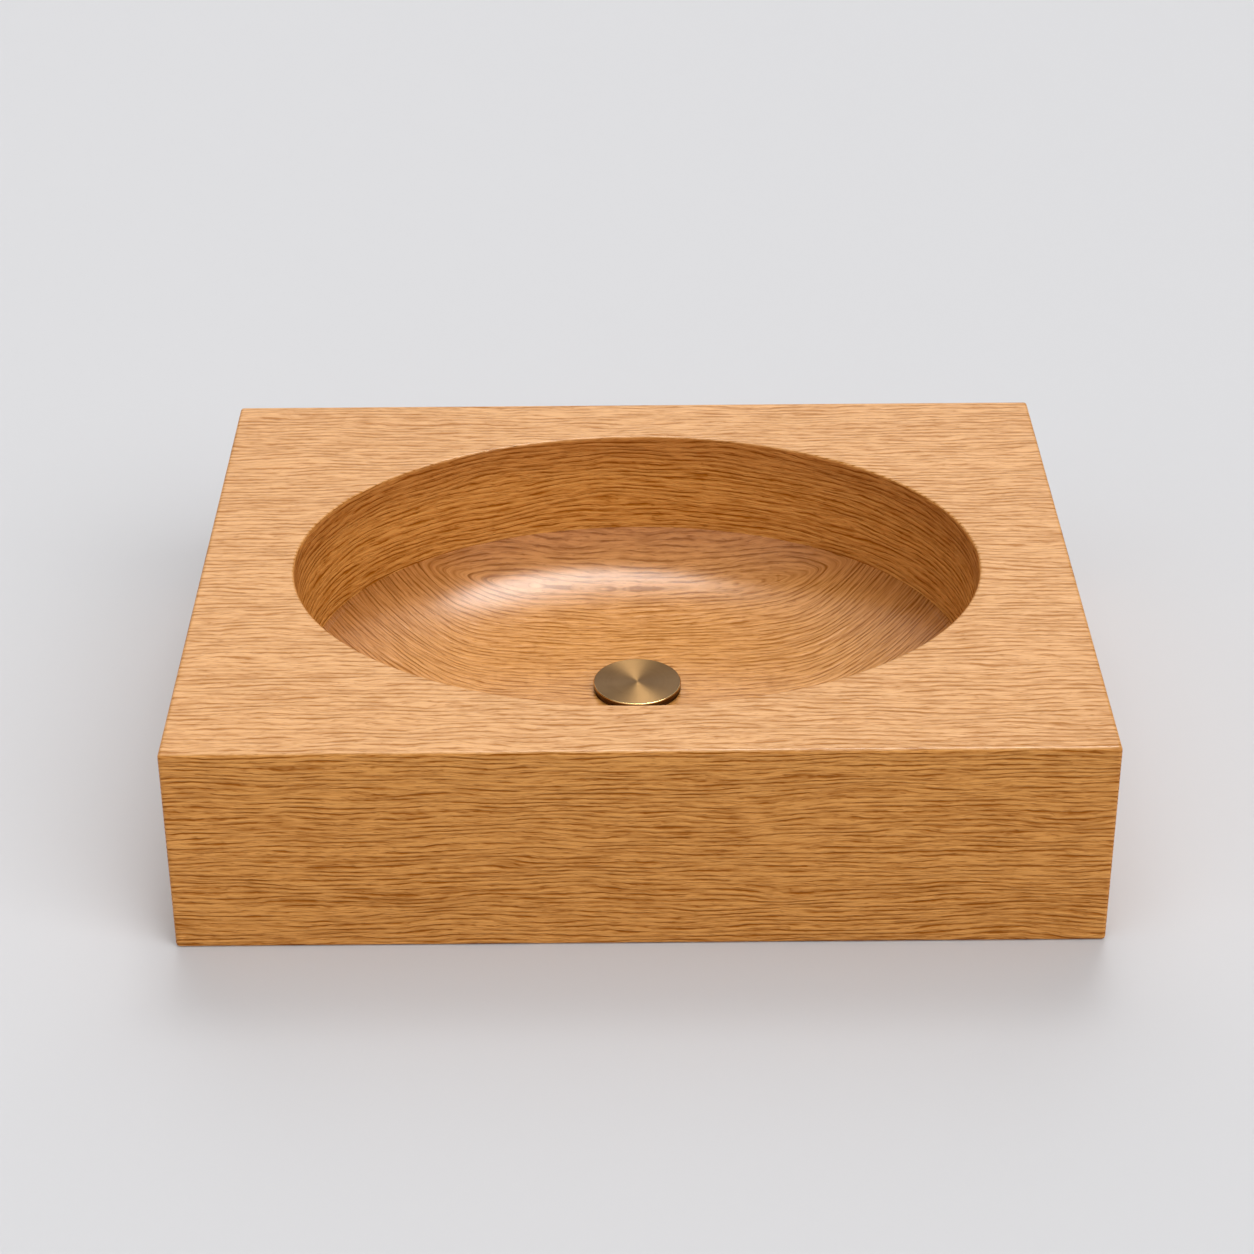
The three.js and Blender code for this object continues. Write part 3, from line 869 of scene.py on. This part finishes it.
# the place across, counted in layers, first with the trunk's sway and then with bends and ripples
sway = drawn_out(t, place, 120, 50, 1.0, 0.4, seed)
across = tree_node(t, "SeparateXYZ", {0: place}).outputs["Y"]
across = maths(t, "MULTIPLY_ADD", sway, given["Sway"], across)
layer = maths(t, "DIVIDE", across, given["Spacing"])
even = beside(layer)
bend = drawn_out(t, even, 48, 3, 0.0, 0.5, seed)
ripple = drawn_out(t, even, 13, 1.3, 2.0, 0.5, seed)
layer = maths(t, "MULTIPLY_ADD", bend, maths(t, "MULTIPLY", given["Ripple"], 3.0), layer)
layer = maths(t, "MULTIPLY_ADD", ripple, given["Ripple"], layer)
bent = beside(layer)
print("oak_grain so far:", len(t.nodes), "nodes")

# %% Lines, streaks and pores
# the dark end of each layer, wide in some places and lost in others
through = maths(t, "PINGPONG", layer, 0.5)
wide = drawn_out(t, bent, 26, 0.9, 1.0, 0.5, seed)
line = ramp(t, through, 0.02, maths(t, "MULTIPLY_ADD", wide, 0.26, 0.22))
line = maths(t, "SUBTRACT", 1.0, line)
force = drawn_out(t, bent, 24, 0.7, 2.0, 0.6, seed)
line = maths(t, "MULTIPLY", line, maths(t, "MULTIPLY_ADD", force, 2.6, 0.55, clamp=True))
# the pale ridge that stands up between two lines
ridge = ramp(t, through, 0.3, 0.48)
# streaks between the lines, pores as short dashes, and bundles of darker layers
streak = drawn_out(t, bent, 20, 0.46, 2.0, 0.6, seed)
fine = drawn_out(t, bent, 12, 0.2, 1.0, 0.6, seed)
pores = ramp(t, drawn_out(t, bent, 5, 0.2, 0.0, 0.5, seed), 0.2, 0.5)
bands = drawn_out(t, bent, 160, 2.4, 2.0, 0.6, seed)
print("oak_grain so far:", len(t.nodes), "nodes")

# %% Colour, roughness and height of the oak
tone = maths(t, "MULTIPLY", line, maths(t, "MULTIPLY", given["Lines"], 0.9))
tone = maths(t, "MULTIPLY_ADD", streak, maths(t, "MULTIPLY", given["Streaks"], 1.1), tone)
tone = maths(t, "MULTIPLY_ADD", fine, maths(t, "MULTIPLY", given["Streaks"], 0.55), tone)
tone = maths(t, "MULTIPLY_ADD", ridge, -0.2, tone)
tone = maths(t, "MULTIPLY_ADD", pores, 0.3, tone)
tone = maths(t, "MULTIPLY_ADD", bands, maths(t, "MULTIPLY", given["Bands"], 0.4), tone)
tone = maths(t, "ADD", tone, 0.28)
wood = mixed(t, tone, given["Light"], given["Dark"])
# painted shade: the Shade input multiplies the wood's colour towards a dark brown
t.links.new(mixed(t, given["Shade"], wood, hue(160, 90, 36), "MULTIPLY"), gives["Color"])
t.links.new(maths(t, "MULTIPLY_ADD", tone, 0.2, 0.38), gives["Roughness"])
depth = maths(t, "MULTIPLY_ADD", line, -0.6, maths(t, "MULTIPLY", pores, -0.3))
depth = maths(t, "MULTIPLY_ADD", ridge, 0.2, depth)
t.links.new(maths(t, "MULTIPLY_ADD", streak, -0.6, depth), gives["Height"])
print("oak_grain:", len(t.nodes), "nodes")

# %% [markdown]
# ## Which way the layers run in each piece
#
# The same group serves every oak piece, and only the vector that it gets is different. On the deck the
# layers lie one behind the other, and the fibres run along the width. On an apron they lie one above the
# other. So a Mapping node turns the pattern by the directions of fibres and layers. The layers also lean
# a little into each board, so that its narrow edges show lines too. The bent wall has its layers level
# all the way round.
#
# The floor is cut out of a block whose layers lie along a line behind the drain and fall away past its
# ends, so its vector is made by hand. To the distance from that line is added how far a point lies past
# the straight part, and the lines close in long arches with pointed tips.

# %% Oak material
RIDGE_ROUND, TIP_ROUND = 2.5 * MM, 22 * MM  # how roundly the arches close beside and past their line


def bowed(tree, value, round_off):
    """The size of a value, without its sharp turn at zero."""
    square = maths(tree, "MULTIPLY", value, value)
    return maths(tree, "SQRT", maths(tree, "ADD", square, round_off**2))


def new_material(name):
    """A material with its node tree and its shader."""
    made = bpy.data.materials.new(name)
    made.use_nodes = True
    return made, made.node_tree, made.node_tree.nodes["Principled BSDF"]


def relief(tree, shader, height, strength, distance):
    """A bump from a height, into the shader's normal."""
    sockets = {"Strength": strength, "Distance": distance, "Height": height}
    tree.links.new(tree_node(tree, "Bump", sockets).outputs[0], shader.inputs["Normal"])


def oak(name, turn=None, arch=None, shade=None, coat=(0.15, 0.24), bump=0.8, **values):
    """Lacquered oak, with values for the grain group.

    turn is the rotation of the pattern. arch is the line that the layers lie along, how far they run
    straight beside it, and how steeply they fall away past that. shade is painted shade: an axis, where
    the darkening starts and is full, and how dark it gets. coat is the lacquer's weight and roughness.
    """
    made, tree, shader = new_material(name)
    where = tree_node(tree, "TexCoord").outputs["Object"]
    parts = tree_node(tree, "SeparateXYZ", {0: where}).outputs
    if turn:
        where = tree_node(tree, "Mapping", {"Vector": where, "Rotation": turn}).outputs[0]
    if arch:
        ridge, reach, steep = arch
        off = bowed(tree, maths(tree, "SUBTRACT", parts["Y"], ridge), RIDGE_ROUND)
        past = maths(tree, "SUBTRACT", maths(tree, "ABSOLUTE", parts["X"]), reach)
        # nearly nothing inside the reach, then rising
        past = maths(tree, "ADD", bowed(tree, past, TIP_ROUND), past)
        across = maths(tree, "MULTIPLY_ADD", past, steep / 2, off)
        where = tree_node(tree, "CombineXYZ", {"X": parts["X"], "Y": across}).outputs[0]
    used = tree_node(tree, "Group", node_tree=grain)
    tree.links.new(where, used.inputs["Vector"])
    for label, value in values.items():
        used.inputs[label].default_value = value
    # painted shade: along one axis the colour is multiplied darker, standing in for shade under a rim or
    # in a crease
    if shade:
        axis, start, full, most = shade
        painted_shade_share = ramp(tree, maths(tree, "ABSOLUTE", parts[axis]), start, full)
        tree.links.new(maths(tree, "MULTIPLY", painted_shade_share, most), used.inputs["Shade"])
    tree.links.new(used.outputs["Color"], shader.inputs["Base Color"])
    tree.links.new(used.outputs["Roughness"], shader.inputs["Roughness"])
    relief(tree, shader, used.outputs["Height"], bump, 0.8 * MM)
    shader.inputs["Specular IOR Level"].default_value = 0.08  # the coat gives the gloss
    shader.inputs["Coat Weight"].default_value = coat[0]
    shader.inputs["Coat Roughness"].default_value = coat[1]
    return made


def turned(fibres, across):
    """The rotation that lays the pattern's X along the fibres and its Y across the layers."""
    x, y = Vector(fibres).normalized(), Vector(across).normalized()
    return tuple(Matrix((x, y, x.cross(y))).to_euler())


# %% Deck and aprons in oak
# the deck's paler, greyer tones and the aprons' darker, deeper ones are partly boards of their own,
# partly painted sheen on the top and painted shade on the sides
DECK_TONES = {"Light": hue(217, 160, 99), "Dark": hue(168, 105, 24)}
APRONS = {"Light": hue(219, 153, 80), "Dark": hue(152, 84, 6), "Spacing": 2.8, "Sway": 6.0}
lying = turned((1, 0, 0), (0, 0.9, 0.44))
long_way = turned((1, 0, 0), (0, 0.5, 0.87))
side_way = turned((0, 1, 0), (0.5, 0, 0.87))
deck_oak = oak("lacquered_oak_deck", lying, coat=(0.28, 0.24), Spacing=4.2, Seed=1.0, **DECK_TONES)
front_oak = oak("lacquered_oak_long_apron", long_way, Seed=4.0, **APRONS)
side_oak = oak("lacquered_oak_side_apron", side_way, Seed=9.0, **APRONS)
print("case:", deck_oak.name, front_oak.name, side_oak.name)

# %% Bowl in oak
WALL_TONES = {"Light": hue(214, 152, 78), "Dark": hue(157, 91, 10)}
BOWL_TONES = {"Light": hue(214, 152, 82), "Dark": hue(158, 96, 12)}
level = turned((1, 0, 0), (0, 0, 1))
wall_oak = oak(
    "lacquered_oak_wall",
    level,
    # painted shade: the wall's colour darkens towards its top, under the mouth's rim
    shade=("Z", HEIGHT - 34 * MM, HEIGHT - 4 * MM, 0.3),
    Spacing=3.4,
    Sway=6.0,
    Seed=14.0,
    **WALL_TONES,
)
RIDGE_Y, STRAIGHT, STEEP = 120 * MM, 115 * MM, 0.9
floor_oak = oak(
    "lacquered_oak_floor",
    arch=(RIDGE_Y, STRAIGHT, STEEP),
    # painted shade: the floor's colour darkens from just above its lowest level up to the seam
    shade=("Z", FLOOR_Z + 1 * MM, SEAM_Z, 0.42),
    coat=(0.34, 0.2),
    Spacing=4.4,
    Sway=5.0,
    Seed=21.0,
    **BOWL_TONES,
)
print("bowl:", wall_oak.name, floor_oak.name)

# %% [markdown]
# ## Handing a finished piece over
#
# The frame has to know what each new piece is. Its body says what it moves with, and the last
# names say which imported pieces it stands for, so that they step aside. One helper does this and
# gives the piece its material, so that no piece is left half done.

# %% Finish the oak
def finish(piece, material, slot, body, *replaced):
    """Gives a piece its material, the body it rides on and the CAD nodes it stands for. slot is not used.
    """
    piece.data.materials.clear()
    piece.data.materials.append(material)
    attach(piece, body)
    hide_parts(*replaced)


finish(deck, deck_oak, "oak_deck", "basin", "deck_board")
for name, board in aprons.items():
    finish(board, front_oak if name[0] in "fb" else side_oak, "oak_case", "basin", name)
finish(ring, wall_oak, "oak_bowl", "basin", "bowl_wall")
finish(floor, floor_oak, "oak_bowl", "basin", "bowl_floor")
print("handed over:", 3 + len(aprons), "oak pieces")

# %% [markdown]
# ## Sawn oak on the inside
#
# Nobody lacquers what nobody sees. The base board and the corner blocks are sawn and sealed: duller,
# greyer and with a rougher relief. The same group does it with other values and hardly any coat. The
# blocks stand upright, so their fibres run up.

# %% Sawn oak
SAWN = {"Light": hue(206, 164, 112), "Dark": hue(142, 102, 60), "coat": (0.1, 0.5), "bump": 1.0}
base_oak = oak("sawn_oak_base", lying, Spacing=3.8, Seed=31.0, **SAWN)
standing = turned((0, 0, 1), (0.7, 0.7, 0))
block_oak = oak("sawn_oak_blocks", standing, Spacing=3.0, Seed=36.0, **SAWN)
finish(base, base_oak, "oak_inner", "basin", "base_board")


def repaint(name, material):
    """A CAD piece whose shape is right keeps its mesh and only gets a better material."""
    piece = nodes[name]
    piece.data.materials.clear()
    piece.data.materials.append(material)


for i in range(1, 5):
    repaint(f"corner_block_{i}", block_oak)
print("sawn oak:", base_oak.name, block_oak.name)

# %% [markdown]
# ## Marks that a tool leaves on metal
#
# A turned face is covered with fine rings, and a plated or handled one is a little cloudy. Both are
# needed on every metal here, so they are one group: rings from noise on the distance to the axis and the
# height, and clouds from slow noise. It only puts out these two values, and each metal uses them in its
# own way.

# %% Tool marks group
marks, given, gives = group(
    "tool_marks",
    {"Vector": Vector((0, 0, 0)), "Fineness": 3.0, "Clouds": 0.05},
    {"Rings": 0.0, "Cloud": 0.0},
)
t = marks
place = scaled(t, given["Vector"], (1000, 1000, 1000))
parts = tree_node(t, "SeparateXYZ", {0: place}).outputs
flat = tree_node(t, "CombineXYZ", {"X": parts["X"], "Y": parts["Y"]}).outputs[0]
radius = tree_node(t, "VectorMath", {0: flat}, operation="LENGTH").outputs["Value"]
rings = tree_node(t, "CombineXYZ", {"X": radius, "Y": parts["Z"]}).outputs[0]
for vector, scale, detail, rough, label in (
    (rings, "Fineness", 2.0, 0.6, "Rings"),
    (place, "Clouds", 3.0, 0.55, "Cloud"),
):
    sockets = {0: vector, "Scale": given[scale]}
    vector = tree_node(t, "VectorMath", sockets, operation="SCALE").outputs[0]
    t.links.new(noise(t, vector, detail, rough), gives[label])
print("tool_marks:", len(t.nodes), "nodes")

# %% [markdown]
# ## Brushed bronze, brass and steel
#
# The cap's face is brushed while it turns, so its scratches are fine circles. Light that hits them
# fans out across the scratches and not along them, which draws two bright wedges through the middle.
# An anisotropic metal with a tangent that runs round the axis does just that. The brass of the nut and
# the cartridge is only machined, and the screws are zinc plated, so those stay plain metals that take
# their variation from the rings and clouds.

# %% Metals
def metal(name, color, tarnish, roughness, rings=0.08, bump=0.15, anisotropy=0.0):
    """A metal between a clean colour and its tarnish, with tool marks in roughness and relief."""
    made, tree, shader = new_material(name)
    shader.inputs["Metallic"].default_value = 1.0
    used = tree_node(tree, "Group", node_tree=marks)
    tree.links.new(tree_node(tree, "TexCoord").outputs["Object"], used.inputs["Vector"])
    dull = maths(tree, "MULTIPLY_ADD", used.outputs["Cloud"], 0.6, 0.45, clamp=True)
    dull = maths(tree, "MULTIPLY_ADD", used.outputs["Rings"], 0.3, dull, clamp=True)
    tree.links.new(mixed(tree, dull, color, tarnish), shader.inputs["Base Color"])
    rough = maths(tree, "MULTIPLY_ADD", used.outputs["Rings"], rings, roughness)
    rough = maths(tree, "MULTIPLY_ADD", used.outputs["Cloud"], 0.05, rough, clamp=True)
    tree.links.new(rough, shader.inputs["Roughness"])
    relief(tree, shader, used.outputs["Rings"], bump, 0.05 * MM)
    if anisotropy:
        shader.inputs["Anisotropic"].default_value = anisotropy
        shader.inputs["Anisotropic Rotation"].default_value = 0.25  # a quarter turn
        tangent = tree_node(tree, "Tangent", direction_type="RADIAL", axis="Z").outputs[0]
        tree.links.new(tangent, shader.inputs["Tangent"])
    return made


bronze = metal("brushed_bronze", hue(103, 79, 48), hue(82, 61, 35), 0.33, 0.1, anisotropy=0.8)
polished = metal("polished_bronze_edge", hue(232, 200, 140), hue(190, 150, 92), 0.24)
turned_bronze = metal("turned_bronze", hue(150, 116, 78), hue(112, 84, 54), 0.34)
brass = metal("machined_brass", hue(208, 172, 104), hue(170, 128, 70), 0.3)
zinc = metal("zinc_plated_steel", hue(196, 198, 204), hue(150, 152, 150), 0.34, 0.06)
print("metals:", bronze.name, polished.name, turned_bronze.name, brass.name, zinc.name)

# %% Bronze cap with a polished bevel
finish(cap, bronze, "bronze", "cap", "drain_cap")
cap.data.materials.append(polished)
edge_faces = 0
for face in cap.data.polygons:
    on_bevel = face.center.z > CAP_TOP - BEVEL and face.center.xy.length > CAP_RADIUS - 1.2 * BEVEL
    if on_bevel and face.normal.z < 0.99:
        face.material_index = 1
        edge_faces += 1
print("polished faces on the cap's bevel:", edge_faces)

# %% Waste, nut, screws and cartridge
finish(waste, turned_bronze, "bronze", "basin", "waste_body")
finish(tail_thread, turned_bronze, "bronze", "basin")
finish(nut, brass, "brass", "basin", "back_nut")
for i, one in enumerate(screws):
    finish(one, zinc, "steel", "basin", f"base_screw_{i + 1}")
for name in ("cartridge_sleeve", "cartridge_plug", "plunger"):
    repaint(name, brass)
repaint("return_spring", zinc)
print("handed over:", waste.name, tail_thread.name, nut.name, "and", len(screws), "screws")

# %% [markdown]
# ## Rubber and plastic
#
# Moulded rubber is matt and nearly black, with a faint bloom that dulls it in patches. Moulded plastic
# is paler and smoother, with a slight waviness from the mould. Both are a slow noise for the patches and
# a fine one for the grain of the surface, so one helper makes them with different colours and strengths.

# %% Moulded materials
def moulded(name, color, bloom, roughness, bump, specular):
    """A matt moulded material between a colour and its bloom."""
    made, tree, shader = new_material(name)
    place = tree_node(tree, "TexCoord").outputs["Object"]
    patches = noise(tree, scaled(tree, place, (140, 140, 140)), 3.0, 0.6)
    grit = noise(tree, scaled(tree, place, (2600, 2600, 2600)), 1.0, 0.5)
    share = maths(tree, "MULTIPLY_ADD", patches, 0.8, 0.4, clamp=True)
    tree.links.new(mixed(tree, share, color, bloom), shader.inputs["Base Color"])
    tree.links.new(maths(tree, "MULTIPLY_ADD", patches, 0.1, roughness), shader.inputs["Roughness"])
    relief(tree, shader, grit, bump, 0.08 * MM)
    shader.inputs["Specular IOR Level"].default_value = specular
    return made


rubber = moulded("matt_black_rubber", hue(34, 34, 36), hue(62, 62, 62), 0.66, 0.5, 0.35)
white = moulded("moulded_white_plastic", hue(232, 230, 220), hue(218, 214, 198), 0.42, 0.2, 0.5)
for gasket, node in ((flange_gasket, "flange_gasket"), (lower_gasket, "lower_gasket")):
    finish(gasket, rubber, "rubber", "basin", node)
finish(cap_seal, rubber, "rubber", "cap", "cap_seal")
finish(slip_washer, white, "white_plastic", "basin", "slip_washer")
repaint("ratchet_rotor", white)
print("moulded:", rubber.name, white.name)

# %% [markdown]
# ## Studio floor and light
#
# A plain product picture has one sheet of pale paper that curves up far behind the piece, so that no
# horizon shows, and large, soft lights. A sun with a wide angle is as soft as a big softbox and lights
# everything evenly from far away.
#
# The main light stands high behind the basin: it draws the glow on the bowl's floor and the bright
# arrises, and leaves the near wall of the bowl to the weaker lights in front. A second one beside it is
# seen by gloss only, so that the glow can be strong and the oak keeps its colour. A little even light
# from all round keeps the underside visible.

# %% Floor
COVE_RADIUS, COVE_BEND, COVE_TOP = 6, 1, 2.2  # metres
bend = arc((COVE_RADIUS - COVE_BEND, COVE_BEND), COVE_BEND, -90, 0, 12)
ground = spun([(0, 0), (2, 0), *bend, (COVE_RADIUS, COVE_TOP)], "studio_floor", steps=96)
pick(ground)
ops.object.shade_smooth()
paper, _, shader = new_material("studio_paper")
sheet = shader.inputs
sheet["Base Color"].default_value = hue(199, 199, 201)
sheet["Roughness"].default_value = 0.95
sheet["Specular IOR Level"].default_value = 0.0
ground.data.materials.append(paper)
ground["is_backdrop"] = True
print("floor", tuple(round(s) for s in ground.dimensions), "m")


# %% Lights
def sun(name, energy, elevation, azimuth, angle):
    """Far light of a wide angle. azimuth 0 comes from the front, 90 from the right."""
    data = bpy.data.lights.new(name, "SUN")
    data.energy, data.angle = energy, math.radians(angle)
    lamp = bpy.data.objects.new(name, data)
    bpy.context.scene.collection.objects.link(lamp)
    e, a = math.radians(elevation), math.radians(azimuth)
    towards = Vector((math.sin(a) * math.cos(e), -math.cos(a) * math.cos(e), math.sin(e)))
    lamp.matrix_world = towards.to_track_quat("Z", "Y").to_matrix().to_4x4()
    return lamp


sun("key_behind", 0.6, 62, 173, 18)
glint = sun("glint_behind", 2.6, 62, 169, 18)
glint.visible_diffuse = False
sun("wide_behind", 1.2, 40, 180, 50)
sun("fill_left", 0.57, 40, 315, 50)
sun("fill_right", 1.75, 40, 45, 50)
sun("overhead", 0.95, 88, 0, 50)
world = bpy.data.worlds.new("studio")
world.use_nodes = True
sky = world.node_tree.nodes["Background"].inputs
sky["Color"].default_value = (1, 1, 1, 1)
sky["Strength"].default_value = 0.08
bpy.context.scene.world = world
bpy.context.scene.view_settings.view_transform = "Standard"

# %% [markdown]
# ## The sizes, and the end
#
# The looks must not outgrow the measured model. The box of everything that shows now is printed, as
# the frame's box was when it was loaded.

# %% Sizes
low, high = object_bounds()
print("visual box", [round(1000 * s, 1) for s in high - low], "mm")
